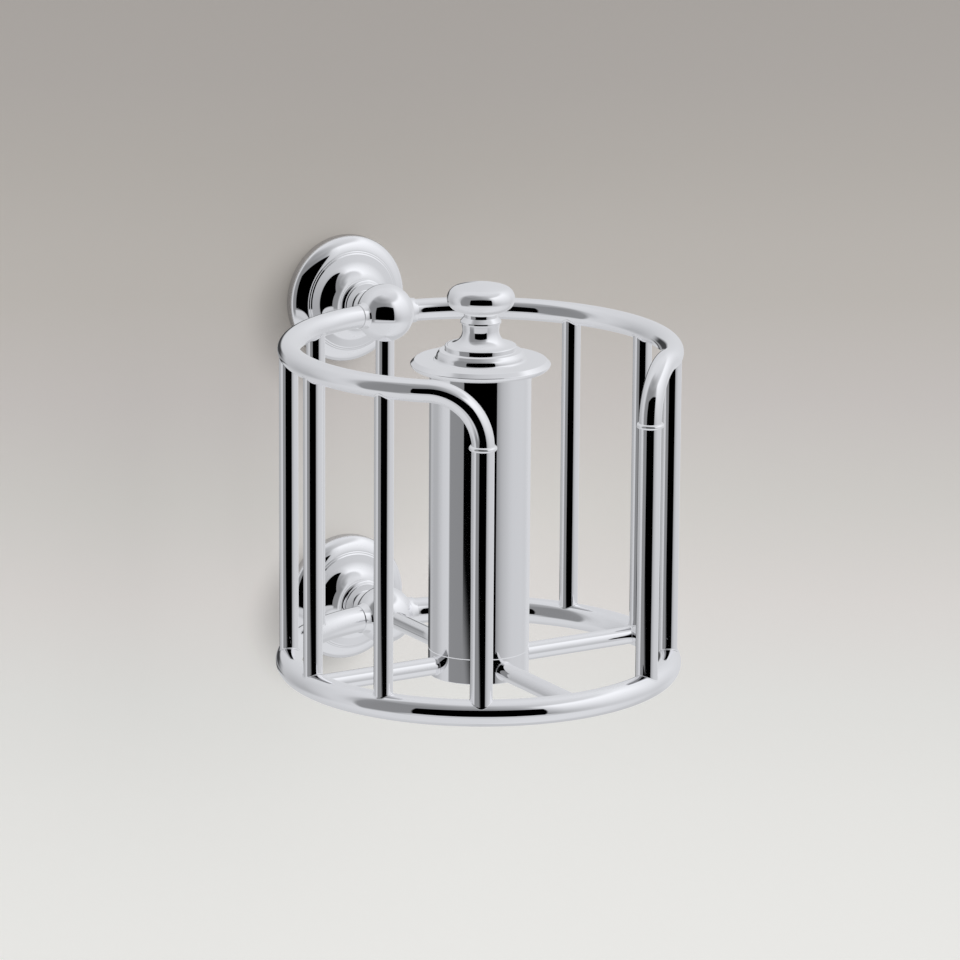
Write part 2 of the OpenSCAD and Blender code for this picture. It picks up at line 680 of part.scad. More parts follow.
// The disc under the finial, with a sloped rim above its edge and a rounded stretch under it
module spindle_disc() {
  low_angle = 62;
  edge_angle = 15;
  under_r = disc_under_h / (sin(low_angle) - sin(edge_angle));
  under_middle = [disc_d / 2 - under_r * cos(edge_angle), tube_top + disc_under_h + under_r * sin(edge_angle)];
  chrome() on_axis() difference() {
    turned(concat(
      [[0, tube_top]],
      arc(under_middle, [under_r, under_r], -low_angle, -edge_angle),
      [[disc_d / 2 - disc_rim_w, disc_top], [0, disc_top]]
    ));
    stud_hole(tube_top, disc_top);
  }
}

// The finial's foot: a cove, a rounded side and a slope, with a step on it
module finial_foot() {
  low_angle = 5;
  slope_angle = 36;
  side_r = foot_d / 2 - foot_side_r * cos(low_angle);
  slope_h = foot_h - foot_cove - foot_side_r * sin(slope_angle);
  slope_end = side_r + foot_side_r * cos(slope_angle) - slope_h * tan(slope_angle);
  cove_r = tier_d / 2 - tier_lean + tier_cove;
  chrome() on_axis() difference() {
    turned(concat(
      [[0, disc_top]],
      arc([foot_d / 2 + foot_cove, disc_top + foot_cove], [foot_cove, foot_cove], 270, 180),
      arc([side_r, disc_top + foot_cove], [foot_side_r, foot_side_r], low_angle, slope_angle),
      [[slope_end, foot_top]],
      arc([cove_r, foot_top + tier_cove], [tier_cove, tier_cove], 270, 180),
      arc([tier_d / 2 - tier_round, tier_top - tier_round], [tier_round, tier_round], 0, 90),
      [[0, tier_top]]
    ));
    stud_hole(disc_top, tier_top);
  }
}

// The finial's neck: a flare, a waist, a collar and a small ring under the knob
module finial_neck() {
  waist_r = finial_waist_d / 2;
  collar_z = neck_top - collar_drop;
  reel_z = neck_top - reel_h * (1 + fine_share);
  chrome() on_axis() difference() {
    turned(concat(
      [[0, tier_top]],
      arc([waist_r + flare_w, tier_top + flare_h], [flare_w, flare_h], 270, 180),
      [[waist_r + (collar_d / 2 - waist_r) * fine_share, collar_z - collar_h]],
      [[collar_d / 2, collar_z - collar_h * (1 - fine_share)], [collar_d / 2, collar_z]],
      [[reel_d / 2, reel_z]],
      [[reel_d / 2, reel_z + reel_h], [reel_top_d / 2, neck_top], [0, neck_top]]
    ));
    stud_hole(tier_top, neck_top);
  }
}

// The knob: a rounded side between two flatter crowns, cut flat where it sits on the neck
module knob() chrome() on_axis() translate([0, 0, neck_top]) difference() {
  turned(concat(
    [[0, 0]],
    arc([0, knob_sink + crown_drop], [crown_r, crown_r], -acos(reel_top_d / 2 / crown_r), -crown_angle),
    arc([side_middle, knob_sink], [knob_side_r, knob_side_r], -side_angle, side_angle),
    arc([0, knob_sink - crown_drop], [crown_r, crown_r], crown_angle, 90)
  ));
  translate([0, 0, -over]) cylinder(d = stud_d + 2 * fit_gap, h = over + stud_grip + fit_gap);
}

// The stud through the plug, the disc and the finial
module spindle_stud() steel() on_axis() translate([0, 0, stud_bottom])
  cylinder(d = stud_d, h = neck_top + stud_grip - stud_bottom);

wall_plate_upper();
wall_plate_lower();
wall_screws_upper();
wall_screws_lower();
flange_upper();
flange_lower();
grub_screw_upper();
grub_screw_lower();
tie_bolt_upper();
tie_bolt_lower();
neck_upper();
neck_lower();
ball_upper();
ball_lower();
rail_left();
rail_right();
bead_left();
bead_right();
opening_post_left();
opening_post_right();
bar_left_front();
bar_left_side();
bar_left_rear();
bar_left_wall();
bar_right_front();
bar_right_side();
bar_right_rear();
bar_right_wall();
bar_back();
base_ring();
spoke_front();
spoke_back();
spoke_left();
spoke_right();
hub();
peg();
peg_screw();
retaining_ring();
guide_bush();
spindle_tube();
tube_plug();
spindle_disc();
finial_foot();
finial_neck();
knob();
spindle_stud();
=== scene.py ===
"""The looks of the vertical toilet paper holder: a polished cage and spindle in front of a plain wall.

Lengths in this file are millimetres in the row's frame, and surface() turns them into the scene's metres.
Angles round the cage are degrees, counted from the front towards +X.
"""

import math

import bpy
import numpy as np
from mathutils import Matrix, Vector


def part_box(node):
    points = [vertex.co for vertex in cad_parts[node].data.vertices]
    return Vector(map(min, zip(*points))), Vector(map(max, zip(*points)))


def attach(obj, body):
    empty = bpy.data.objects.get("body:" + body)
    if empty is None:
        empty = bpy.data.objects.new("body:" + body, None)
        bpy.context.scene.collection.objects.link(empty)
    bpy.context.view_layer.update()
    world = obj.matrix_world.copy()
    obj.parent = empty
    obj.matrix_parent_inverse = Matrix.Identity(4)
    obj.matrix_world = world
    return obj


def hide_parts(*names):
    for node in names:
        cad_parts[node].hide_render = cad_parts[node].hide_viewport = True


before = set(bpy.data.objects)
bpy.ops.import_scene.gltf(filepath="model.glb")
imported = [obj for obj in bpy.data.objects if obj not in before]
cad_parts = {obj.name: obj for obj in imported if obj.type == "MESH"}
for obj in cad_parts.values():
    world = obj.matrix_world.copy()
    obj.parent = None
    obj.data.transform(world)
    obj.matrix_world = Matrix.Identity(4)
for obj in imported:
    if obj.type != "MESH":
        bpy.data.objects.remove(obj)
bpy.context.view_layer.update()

AROUND = 192  # points round a turned surface
ROUND_ROD = 72  # points round a rod
GAP = 0.05  # between a rod and what is seated on it
FLAT = 0.1  # from a flare's end to the next ring of the plain rod
EASE = 0.03  # from an edge's rounding to the next point, so that flat faces stay flat


# Sizes that the CAD boxes give


def span(node):
    """The lowest and the highest corner of a CAD node, in millimetres."""
    low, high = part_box(node)
    return np.array(low) * 1000, np.array(high) * 1000


base_low, base_high = span("base_ring")
tube_low, tube_high = span("spindle_tube")
axis_y = (tube_low[1] + tube_high[1]) / 2
axis = np.array((0.0, axis_y, 0.0))
base_r = (base_high[2] - base_low[2]) / 2
base_z = (base_high[2] + base_low[2]) / 2
ring_r = (base_high[0] - base_low[0]) / 2 - base_r
post_low, post_high = span("opening_post_left")
rail_r = (post_high[0] - post_low[0]) / 2
rail_z = span("rail_left")[1][2] - rail_r
bead_low, bead_high = span("bead_left")
post_top = (bead_low[2] + bead_high[2]) / 2
bar_low, bar_high = span("bar_left_side")
bar_r = (bar_high[0] - bar_low[0]) / 2
spoke_low, spoke_high = span("spoke_left")
spoke_r = (spoke_high[2] - spoke_low[2]) / 2
ball_r = span("ball_upper")[1][2] - rail_z
ball_reach = -(ring_r + axis_y)
hub_low, hub_high = span("hub")
tube_r = (tube_high[0] - tube_low[0]) / 2
flange_low, flange_high = span("flange_upper")
flange_r = (flange_high[0] - flange_low[0]) / 2
flange_h = -flange_low[1]
opening = 30  # degrees from the front to each post beside the finger opening
pitch = 30  # degrees from one upright to the next
rod_seat = 6.5  # from a ball's middle to the ends of the rods that it holds
seat_angle = math.degrees(math.asin(rod_seat / ring_r))


# Shaders: a socket that plain maths works on


class Socket:
    """One output of a shader node. Sums, products and powers of it are new maths nodes."""

    def __init__(self, tree, out):
        self.tree, self.out = tree, out

    def maths(self, operation, *values):
        inputs = dict(enumerate((self, *values)))
        return node(self.tree, "ShaderNodeMath", inputs, operation=operation)

    def __add__(self, other):
        return self.maths("ADD", other)

    def __sub__(self, other):
        return self.maths("SUBTRACT", other)

    def __rsub__(self, other):
        return (self * -1) + other

    def __mul__(self, other):
        return self.maths("MULTIPLY", other)

    def __truediv__(self, other):
        return self.maths("DIVIDE", other)

    __radd__ = __add__
    __rmul__ = __mul__

    def clear(self, start, end, kind="SMOOTHSTEP"):
        """0 at start, 1 at end, and an even change between them."""
        return node(
            self.tree, "ShaderNodeMapRange",
            {"Value": self, "From Min": start, "From Max": end},
            interpolation_type=kind,
        )


def node(tree, kind, inputs=None, output=0, **settings):
    """A new shader node with its settings, its sockets' numbers and its links. Gives one of its outputs."""
    made = tree.nodes.new(kind)
    for name, value in settings.items():
        setattr(made, name, value)
    for name, value in (inputs or {}).items():
        place = made.inputs[name]
        if isinstance(value, Socket):
            tree.links.new(value.out, place)
        else:
            place.default_value = value
    return Socket(tree, made.outputs[output])


def parts(tree, vector):
    """The three numbers of a vector socket."""
    made = node(tree, "ShaderNodeSeparateXYZ", {0: vector})
    return [Socket(tree, made.out.node.outputs[i]) for i in range(3)]


def light(tone):
    """The linear light of a tone on the scale from 0 to 255."""
    share = tone / 255
    return share / 12.92 if share <= 0.04045 else ((share + 0.055) / 1.055) ** 2.4


def ramp(where, stops):
    """The light between stops (place, tone), even from one to the next. A tone is a grey or a colour."""
    made = node(where.tree, "ShaderNodeValToRGB", {"Fac": where})
    scale = made.out.node.color_ramp
    scale.interpolation = "LINEAR"
    for i, (place, tone) in enumerate(stops):
        stop = scale.elements[i] if i < 2 else scale.elements.new(place)
        stop.position = place
        tones = tone if isinstance(tone, tuple) else (tone,) * 3
        stop.color = (*map(light, tones), 1)
    return made


def mix(tree, factor, first, second):
    """The first colour at factor 0, the second at factor 1."""
    inputs = {"Factor": factor, 6: first, 7: second}
    return node(tree, "ShaderNodeMix", inputs, output=2, data_type="RGBA")


def material(name):
    """An empty material. Gives it and its node tree."""
    made = bpy.data.materials.new(name)
    made.use_nodes = True
    made.node_tree.nodes.clear()
    return made, made.node_tree


def finish(tree, shader, kind="ShaderNodeOutputMaterial"):
    """Puts a shader on the material's or the world's output."""
    node_out = tree.nodes.new(kind)
    tree.links.new(shader.out, node_out.inputs["Surface"])


def noise(tree, where, size, detail=2.0, roughness=0.5):
    """Even noise from 0 to 1 whose patches are about that many millimetres wide."""
    return node(
        tree, "ShaderNodeTexNoise",
        {"Vector": where, "Scale": 1000 / size, "Detail": detail, "Roughness": roughness},
    )


FADE = 1.25  # a mirrored piece is gone from reflections at this many times its range


def metal(name, tint, roughness, spread, patch, wave, wave_size, brushed=None, mirrored=None):
    """A metal with uneven polish: patches of a slightly duller finish, and a very shallow wave.

    With mirrored, a reflection shows this metal only up to that many millimetres away. Further off it shows
    the studio behind it, which keeps a cage of thin rods calm, as the retouched photograph has it.
    """
    made, tree = material(name)
    place = node(tree, "ShaderNodeTexCoord", output=3)
    if brushed:
        place = node(tree, "ShaderNodeMapping", {"Vector": place, "Scale": brushed})
    dull = noise(tree, place, patch, 4.0, 0.6).clear(0.35, 0.75)
    shallow = noise(tree, place, wave_size, 3.0)
    normal = node(tree, "ShaderNodeBump", {"Strength": 1.0, "Distance": wave / 1000, "Height": shallow})
    shader = node(
        tree, "ShaderNodeBsdfPrincipled",
        {"Base Color": (*tint, 1), "Metallic": 1.0, "Roughness": dull * spread + roughness, "Normal": normal},
    )
    if mirrored:
        length = node(tree, "ShaderNodeLightPath", output="Ray Length")
        far = length.clear(mirrored / 1000, mirrored * FADE / 1000)
        clear = node(tree, "ShaderNodeBsdfTransparent")
        near_only = node(tree, "ShaderNodeMixShader", {0: far, 1: shader, 2: clear})
        bounce = node(tree, "ShaderNodeLightPath", output="Is Glossy Ray")
        shader = node(tree, "ShaderNodeMixShader", {0: bounce, 1: shader, 2: near_only})
    finish(tree, shader)
    return made


chrome = metal(
    "polished_chrome", (0.93, 0.928, 0.943), roughness=0.02, spread=0.015, patch=14.0,
    wave=0.0004, wave_size=6.0, mirrored=14.0,
)
steel = metal(
    "brushed_steel", (0.56, 0.56, 0.57), roughness=0.24, spread=0.16, patch=1.2,
    wave=0.004, wave_size=0.3, brushed=(1.0, 1.0, 6.0),
)
screw_steel = metal(
    "zinc_plated_steel", (0.62, 0.63, 0.66), roughness=0.2, spread=0.2, patch=0.8, wave=0.004, wave_size=0.5
)


def white_nylon():
    """White nylon: a fine matte grain, and slightly yellower patches."""
    made, tree = material("white_nylon")
    place = node(tree, "ShaderNodeTexCoord", output=3)
    grain = noise(tree, place, 0.25, 3.0)
    patch = noise(tree, place, 7.0, 2.0)
    colour = mix(tree, patch, (0.80, 0.79, 0.76, 1), (0.74, 0.72, 0.66, 1))
    normal = node(tree, "ShaderNodeBump", {"Strength": 0.4, "Distance": 0.00004, "Height": grain})
    finish(tree, node(
        tree, "ShaderNodeBsdfPrincipled",
        {"Base Color": colour, "Roughness": grain * 0.15 + 0.42, "Normal": normal},
    ))
    return made


nylon = white_nylon()


# Surfaces


# Only these pieces show in the reflections of others, which keeps the rest calm, as the photograph has it
MIRRORED = ("hub", "spoke", "base", "bar_", "opening_post")


def surface(name, rings, stands_for, body="cage", loop=False):
    """One closed surface from rings of points.

    rings holds m rings of n points. Each ring closes on itself, and each is joined to the next by n
    four-sided faces. The first and the last ring are closed by n triangles to a point at their middle, or
    joined to one another if loop is set. The order of the points is turned over if the volume is below 0.
    """
    rings = np.asarray(rings, float)
    m, n = rings.shape[:2]
    points = rings.reshape(-1, 3)
    here = np.arange(n)
    after = (here + 1) % n
    rows = np.arange(m if loop else m - 1)[:, None]
    above = (rows + 1) % m
    quads = np.stack([rows * n + here, rows * n + after, above * n + after, above * n + here], -1)
    quads = quads.reshape(-1, 4)
    caps = np.empty((0, 3), int)
    if not loop:
        points = np.vstack([points, rings[0].mean(0), rings[-1].mean(0)])
        first = np.full(n, m * n)
        last = (m - 1) * n
        caps = np.vstack([
            np.stack([first, after, here], -1),
            np.stack([first + 1, last + here, last + after], -1),
        ])
    thirds = np.vstack([quads[:, [0, 1, 2]], quads[:, [0, 2, 3]], caps])
    a, b, c = (points[thirds[:, i]] - points[0] for i in range(3))
    if np.einsum("ij,ij->i", a, np.cross(b, c)).sum() < 0:
        quads, caps = quads[:, ::-1], caps[:, ::-1]
    mesh = bpy.data.meshes.new(name)
    mesh.vertices.add(len(points))
    mesh.vertices.foreach_set("co", (points / 1000).astype(np.float32).ravel())
    corners = np.concatenate([quads.ravel(), caps.ravel()]).astype(np.int32)
    sizes = np.concatenate([np.full(len(quads), 4), np.full(len(caps), 3)])
    mesh.loops.add(len(corners))
    mesh.loops.foreach_set("vertex_index", corners)
    mesh.polygons.add(len(sizes))
    mesh.polygons.foreach_set("loop_start", (np.cumsum(sizes) - sizes).astype(np.int32))
    mesh.polygons.foreach_set("use_smooth", np.ones(len(sizes), bool))
    mesh.update(calc_edges=True)
    mesh.validate()
    mesh.materials.append(chrome)
    made = bpy.data.objects.new(name, mesh)
    made.visible_glossy = stands_for.startswith(MIRRORED)
    bpy.context.scene.collection.objects.link(made)
    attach(made, body)
    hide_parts(stands_for)
    return made


def arc(middle, radii, start, end, steps=24):
    """Points of an elliptical stretch of an outline, each with no rounding."""
    turn = np.radians(np.linspace(start, end, steps + 1))
    return [(middle[0] + radii[0] * math.cos(t), middle[1] + radii[1] * math.sin(t), 0) for t in turn]


def soft(corners, closed=False, steps=8):
    """An outline through corners (radius, height, rounding).

    A rounded corner becomes an arc that touches both of its sides, with one more point on each side close
    to it. A corner with rounding 0 stays as it is.
    """
    places = np.array([c[:2] for c in corners], float)
    out = []
    for i, (here, rounding) in enumerate(zip(places, [c[2] for c in corners])):
        if rounding == 0 or (not closed and i in (0, len(corners) - 1)):
            out.append(here[None])
            continue
        sides = [places[i - 1] - here, places[(i + 1) % len(places)] - here]
        lengths = [np.linalg.norm(s) for s in sides]
        sides = [s / l for s, l in zip(sides, lengths)]
        half = math.acos(np.clip(sides[0] @ sides[1], -1, 1)) / 2
        inward = (sides[0] + sides[1]) / (2 * math.cos(half))
        reach = rounding / math.tan(half)
        centre = here + inward * rounding / math.sin(half)
        sweep = np.linspace(-1, 1, steps + 1) * (math.pi / 2 - half)
        across = (sides[1] - sides[0]) / (2 * math.sin(half))
        bend = np.outer(-np.cos(sweep), inward) + np.outer(np.sin(sweep), across)
        near = [here + s * (reach + EASE) for s in sides]
        fits = [l > reach + 2 * EASE for l in lengths]
        out.extend([near[0][None]] if fits[0] else [])
        out.append(centre + rounding * bend)
        out.extend([near[1][None]] if fits[1] else [])
    return np.vstack(out)


def turned(name, outline, stands_for, origin=axis, way=(0, 0, 1), body="cage", loop=False, around=AROUND):
    """The outline (radius, height) turned round the line through origin along way.

    A point of it is origin + height * way + radius * (cos t * side + sin t * other).
    """
    way = np.array(way, float)
    side = np.cross(way, (0.0, 1.0, 0.0) if abs(way[2]) > 0.5 else (0.0, 0.0, 1.0))
    side /= np.linalg.norm(side)
    other = np.cross(way, side)
    t = np.linspace(0, 2 * np.pi, around, endpoint=False)
    circle = np.outer(np.cos(t), side) + np.outer(np.sin(t), other)
    rings = origin + outline[:, 1, None, None] * way + outline[:, 0, None, None] * circle
    return surface(name, rings, stands_for, body, loop)


def swept(name, path, sides, rod_r, stands_for):
    """A round rod with flat ends along a path.

    A point of it is path + rod_r * (cos t * side + sin t * up), where up is the path's direction x side.
    """
    ways = np.gradient(path, axis=0)
    ways /= np.linalg.norm(ways, axis=1)[:, None]
    ups = np.cross(ways, sides)
    t = np.linspace(0, 2 * np.pi, ROUND_ROD, endpoint=False)
    circle = np.cos(t)[:, None] * sides[:, None] + np.sin(t)[:, None] * ups[:, None]
    return surface(name, path[:, None] + rod_r * circle, stands_for)


# The rods


def on_ring(angle, radius=ring_r, z=0.0):
    """A place at an angle round the cage."""
    turn = math.radians(angle)
    return np.array((radius * math.sin(turn), axis_y - radius * math.cos(turn), z))


def rod_path(start, heading, stretches):
    """A path of stretches (degrees turned, degrees dipped, radius, steps), and the sideways direction on it.

    Each step is a chord in the direction halfway between its ends, so every point lies on its arc. A stretch
    that neither turns nor dips is straight, and its radius stands for its length.
    """
    places, dip = [start], 0.0
    sides = [(-math.cos(math.radians(heading)), -math.sin(math.radians(heading)), 0)]
    for turn, fall, radius, steps in stretches:
        for _ in range(steps):
            half_turn, half_fall = turn / steps / 2, fall / steps / 2
            h, d = math.radians(heading + half_turn), math.radians(dip + half_fall)
            swing = math.radians(abs(half_turn) + abs(half_fall))
            chord = 2 * radius * math.sin(swing) if swing else radius / steps
            way = np.array((math.sin(h) * math.cos(d), -math.cos(h) * math.cos(d), -math.sin(d)))
            places.append(places[-1] + chord * way)
            heading, dip = heading + 2 * half_turn, dip + 2 * half_fall
            h = math.radians(heading)
            sides.append((-math.cos(h), -math.sin(h), 0))
    return np.array(places), np.array(sides)


elbow_r = 20.0  # of the bend down beside the opening
ease_r = 30.0  # of the slight bend that leads from the ring to it
# How far the rail turns inward in that bend, so that its end comes down on the ring's own radius
reach = math.hypot(elbow_r, ease_r)
bend_in = math.asin((ease_r + elbow_r**2 / (2 * ring_r)) / reach) - math.atan2(ease_r, elbow_r)
ease_across = elbow_r * math.cos(bend_in) - ease_r * math.sin(bend_in)
ease_out = ring_r - elbow_r * math.sin(bend_in) - ease_r * math.cos(bend_in)
bend_in = math.degrees(bend_in)
ease_angle = opening + math.degrees(math.atan2(ease_across, ease_out))
stub = rail_z - elbow_r - post_top


def rail(name, side):
    """Half of the upper rail: the ring, a slight bend, the bend down at the opening, and a straight end."""
    start = on_ring(180 - seat_angle, z=rail_z)
    # Walking from the ball towards the front along the right half: the heading is the ring's angle less 90
    path, sides = rod_path(start, 90 - seat_angle, [
        (-(180 - seat_angle - ease_angle), 0, ring_r, 150),
        (-(ease_angle - opening - bend_in), 0, ease_r, 24),
        (0, 90, elbow_r, 72),
        (0, 0, stub, 2),
    ])
    flip = np.array((side, 1, 1))
    swept(name, path * flip, sides * flip, rail_r, name)


def base():
    """The lower ring: a round rod bent to a circle, open at the back where both ends sit in the ball."""
    angles = np.linspace(seat_angle - 180, 180 - seat_angle, 321)
    path = np.array([on_ring(a, z=base_z) for a in angles])
    sides = np.array([on_ring(a, 1.0) for a in angles]) - axis
    swept("base_ring", path, sides, base_r, "base_ring")


def seat_height(x, y, rod_z, rod_r, up):
    """The height of a ring's rod surface (with its gap) over a place, above or below the rod's middle."""
    off = np.hypot(x, y - axis_y) - ring_r
    return rod_z + up * np.sqrt(np.maximum((rod_r + GAP) ** 2 - off**2, 0))


QUARTER = np.radians(np.linspace(0, 90, 7))  # the turn of a flare, from the piece that it sits on to the rod


def upright(name, angle, r, low, high, flare):
    """A bar whose ends follow the rods it stands between, with a small hollow flare of solder at each end.

    low and high give the end's height over a place. From an end, the surface runs out along the end to
    r + flare, then along a quarter circle of radius flare to the bar's own radius r.
    """
    t = np.linspace(0, 2 * np.pi, ROUND_ROD, endpoint=False)
    out = np.stack([np.cos(t), np.sin(t)], -1)
    centre = on_ring(angle)[:2]
    steps = [(s * (r + flare), 0.0) for s in (0.3, 0.6, 0.85, 0.97)]
    steps += [(r + flare * (1 - math.sin(q)), flare * (1 - math.cos(q))) for q in QUARTER]
    steps.append((r, flare + FLAT))
    rings = []
    for end, way, order in ((low, 1, steps), (high, -1, steps[::-1])):
        for radius, rise in order:
            xy = centre + radius * out
            rings.append(np.column_stack([xy, end(xy[:, 0], xy[:, 1]) + way * rise]))
    surface(name, np.array(rings), name)


def spoke(name, angle, inner):
    """A spoke that follows the hub's and the lower ring's surface, with a small hollow flare at each.

    A ring is a circle round the spoke's line. At the hub its points are moved along that line by the root of
    tube_r**2 - across**2, and at the other end onto the lower ring's rod. Between them runs the plain rod,
    and inside the hub it goes on to inner. A flare is a quarter circle, as at an upright.
    """
    flare = SPOKE_FLARE
    t = np.linspace(0, 2 * np.pi, ROUND_ROD, endpoint=False)
    turn = math.radians(angle)
    way = np.array((math.sin(turn), -math.cos(turn), 0.0))
    side = np.array((math.cos(turn), math.sin(turn), 0.0))
    middle = np.array((0.0, axis_y, base_z))

    def ring(radius, along_of):
        across, up = radius * np.cos(t), radius * np.sin(t)
        along = along_of(across, up)
        return middle + along[:, None] * way + across[:, None] * side + up[:, None] * (0, 0, 1)

    def hub_face(across, up):
        return np.sqrt(tube_r**2 - across**2)

    def rod_face(across, up):
        off = ring_r - np.sqrt((base_r + GAP) ** 2 - up**2)
        return np.sqrt(off**2 - across**2)

    rings = [ring(s * spoke_r, lambda a, u: 0 * a + inner) for s in (0.5, 0.98, 1.0)]
    rings.append(ring(spoke_r, lambda a, u: hub_face(a, u) - flare))
    for q in QUARTER:
        rise = flare * (1 - math.cos(q))
        rings.append(ring(spoke_r + flare * (1 - math.sin(q)), lambda a, u: hub_face(a, u) + rise))
    rings.append(ring(spoke_r, lambda a, u: hub_face(a, u) + flare + FLAT))
    if name == "spoke_back":
        rings += [ring(s * spoke_r, lambda a, u: 0 * a + ring_r - rod_seat) for s in (1.0, 0.98, 0.5)]
    else:
        rings.append(ring(spoke_r, lambda a, u: rod_face(a, u) - flare - FLAT))
        for q in QUARTER[::-1]:
            rise = flare * (1 - math.cos(q))
            rings.append(ring(spoke_r + flare * (1 - math.sin(q)), lambda a, u: rod_face(a, u) - rise))
        rings += [ring(s * (spoke_r + flare), rod_face) for s in (0.95, 0.6, 0.3)]
    surface(name, np.array(rings), name)


rail("rail_left", -1)
rail("rail_right", 1)
base()


def on_base(x, y):
    return seat_height(x, y, base_z, base_r, 1)


def under_rail(x, y):
    return seat_height(x, y, rail_z, rail_r, -1)


def level_at(z):
    """An end that is flat and level."""
    return lambda x, y: 0 * x + z


BAR_FLARE, POST_FLARE, SPOKE_FLARE = 0.3, 0.2, 0.3
SPOKE_INNER = 11.0  # from the cage's middle to a spoke's inner end, inside the hub

for side, way in (("left", -1), ("right", 1)):
    for i, place in enumerate(("front", "side", "rear", "wall")):
        upright(f"bar_{side}_{place}", way * (i + 2) * pitch, bar_r, on_base, under_rail, BAR_FLARE)
    upright(f"opening_post_{side}", way * opening, rail_r, on_base, level_at(post_top), POST_FLARE)
upright("bar_back", 180, bar_r, level_at(base_z + rod_seat), level_at(rail_z - rod_seat), 0.0)
for name, angle in (("front", 0), ("right", 90), ("back", 180), ("left", -90)):
    spoke("spoke_" + name, angle, SPOKE_INNER)

bead_r = (bead_high[0] - bead_low[0]) / 2
bead_half = (bead_high[2] - bead_low[2]) / 2
for side, way in (("left", -1), ("right", 1)):
    inner = rail_r + GAP
    round_side = arc((rail_r, 0), (bead_r - rail_r, bead_half), -88, 88, 36)
    outline = soft([(inner, -bead_half, 0), *round_side, (inner, bead_half, 0)])
    turned("bead_" + side, outline, "bead_" + side, on_ring(way * opening, z=post_top), loop=True)


# The wall posts. Their outlines run out of the wall: radius, distance from the wall

OUT = (0, -1, 0)
BOLT_HOLE_R = 3.05  # of the holes round the tie bolts and the spindle's stud
SEAT_R = 6.5  # of the flat on each ball that its neck sits on
neck_end = ball_reach - math.sqrt(ball_r**2 - SEAT_R**2)


def flange(name, origin):
    """A round flange: an edge, a shoulder of two radii, fine steps, and a hollow slope up to its nose.

    Its back is hollow over the wall plate and round the tie bolt's head.
    """
    edge_r, low_r, high_r = 1.6, 4.0, 7.42  # of the edge at the wall and of the shoulder's two stretches
    low_z = 3.7  # from the wall to where the shoulder's rounding starts
    change, end = 40, 78  # degrees round the shoulder, where its radius changes and where it ends
    steps = ((0.35, 0.03), (0.7, 0.28), (1.05, 0.31), (1.5, 0.62))  # inward and out from the shoulder's end
    nose_r, slope_r = 9.2, 7.5
    slope_start, slope_end = 7, 78  # degrees round the slope's hollow
    plate_r, plate_depth, head_r, head_depth = 19.3, 4.7, 5.3, 9.0
    low_middle = np.array((flange_r - low_r, low_z))
    turn = math.radians(change)
    high_middle = low_middle + (low_r - high_r) * np.array((math.cos(turn), math.sin(turn)))
    turn = math.radians(end)
    shoulder_end = high_middle + high_r * np.array((math.cos(turn), math.sin(turn)))
    turn = math.radians(slope_end)
    slope_middle = (nose_r + slope_r * math.sin(turn), flange_h + slope_r * math.cos(turn))
    corners = [(plate_r, plate_depth, 0.2), (plate_r, 0, 0.2)]
    corners += arc((flange_r - edge_r, edge_r), (edge_r, edge_r), -90, 0)
    corners += arc(low_middle, (low_r, low_r), 0, change)
    corners += arc(high_middle, (high_r, high_r), change, end, 40)[1:]
    corners += [(shoulder_end[0] - inward, shoulder_end[1] + out, 0.05) for inward, out in steps]
    corners += arc(slope_middle, (slope_r, slope_r), 270 - slope_start, 270 - slope_end, 40)
    corners += [(BOLT_HOLE_R, flange_h, 0.1), (BOLT_HOLE_R, head_depth, 0.1)]
    corners += [(head_r, head_depth, 0.1), (head_r, plate_depth, 0.1)]
    turned(name, soft(corners, closed=True), name, origin, OUT, loop=True)


def neck(name, origin):
    """A turned neck: a fat ring, a small bead on it, a flat face, and a slim stem that widens to the ball.

    Places are (radius, distance from the flange).
    """
    foot_r, end_r = 7.0, 6.6
    ring, ring_half = (8.75, 1.37), 1.35
    bead, bead_half = (8.33, 2.83), 0.55
    face = (8.2, 3.4)
    hollow, hollow_r = (6.32, 4.36), 0.76
    stem, widening_r = (5.56, 4.6), 9.0

    def at(place, aside=0.0):
        return place[0] + aside, flange_h + place[1]

    corners = [(foot_r, flange_h + GAP, 0)]
    corners += arc(at(ring), (ring_half, ring_half), -90, 78, 40)
    corners += arc(at(bead), (bead_half, bead_half), -12, 84)
    corners += [(*at(face), 0.05)]
    corners += arc(at(hollow), (hollow_r, hollow_r), 263, 180)
    corners += arc(at(stem, widening_r), (widening_r, widening_r), 180, 153)
    corners += [(end_r, neck_end - GAP, 0)]
    turned(name, soft(corners), name, origin, OUT)


def ball(level, z, rod_r):
    """A ball with a flat for its neck, and a round shoulder where each half of the ring comes out of it."""
    shoulder_h, shoulder_w, lip, root = 1.2, 2.2, 0.5, 0.3
    flat_r, core_r = 6.4, 4.0  # the flat's edge, and a point inside it
    centre = np.array((0.0, -ball_reach, z))
    start = -math.degrees(math.acos(SEAT_R / ball_r))
    flat = neck_end - ball_reach
    corners = [(core_r, flat, 0), (flat_r, flat, 0), *arc((0, 0), (ball_r, ball_r), start, 89.4, 140)]
    turned("ball_" + level, soft(corners), "ball_" + level, centre, OUT)
    foot_r, lip_r = rod_r + shoulder_w, rod_r + lip
    foot = math.sqrt(ball_r**2 - foot_r**2) - root
    top = ball_r + shoulder_h
    corners = [(foot_r - 1, foot - 0.5, 0)]
    corners += arc((foot_r, top), (foot_r - lip_r, top - foot), 270, 180, 32)[:-1]
    corners += [(lip_r, top, 0.15), (rod_r - 0.5, top, 0)]
    turn = math.radians(seat_angle)
    for side, across in (("left", -math.cos(turn)), ("right", math.cos(turn))):
        way = (across, -math.sin(turn), 0)
        turned(f"shoulder_{level}_{side}", soft(corners), "ball_" + level, centre, way)


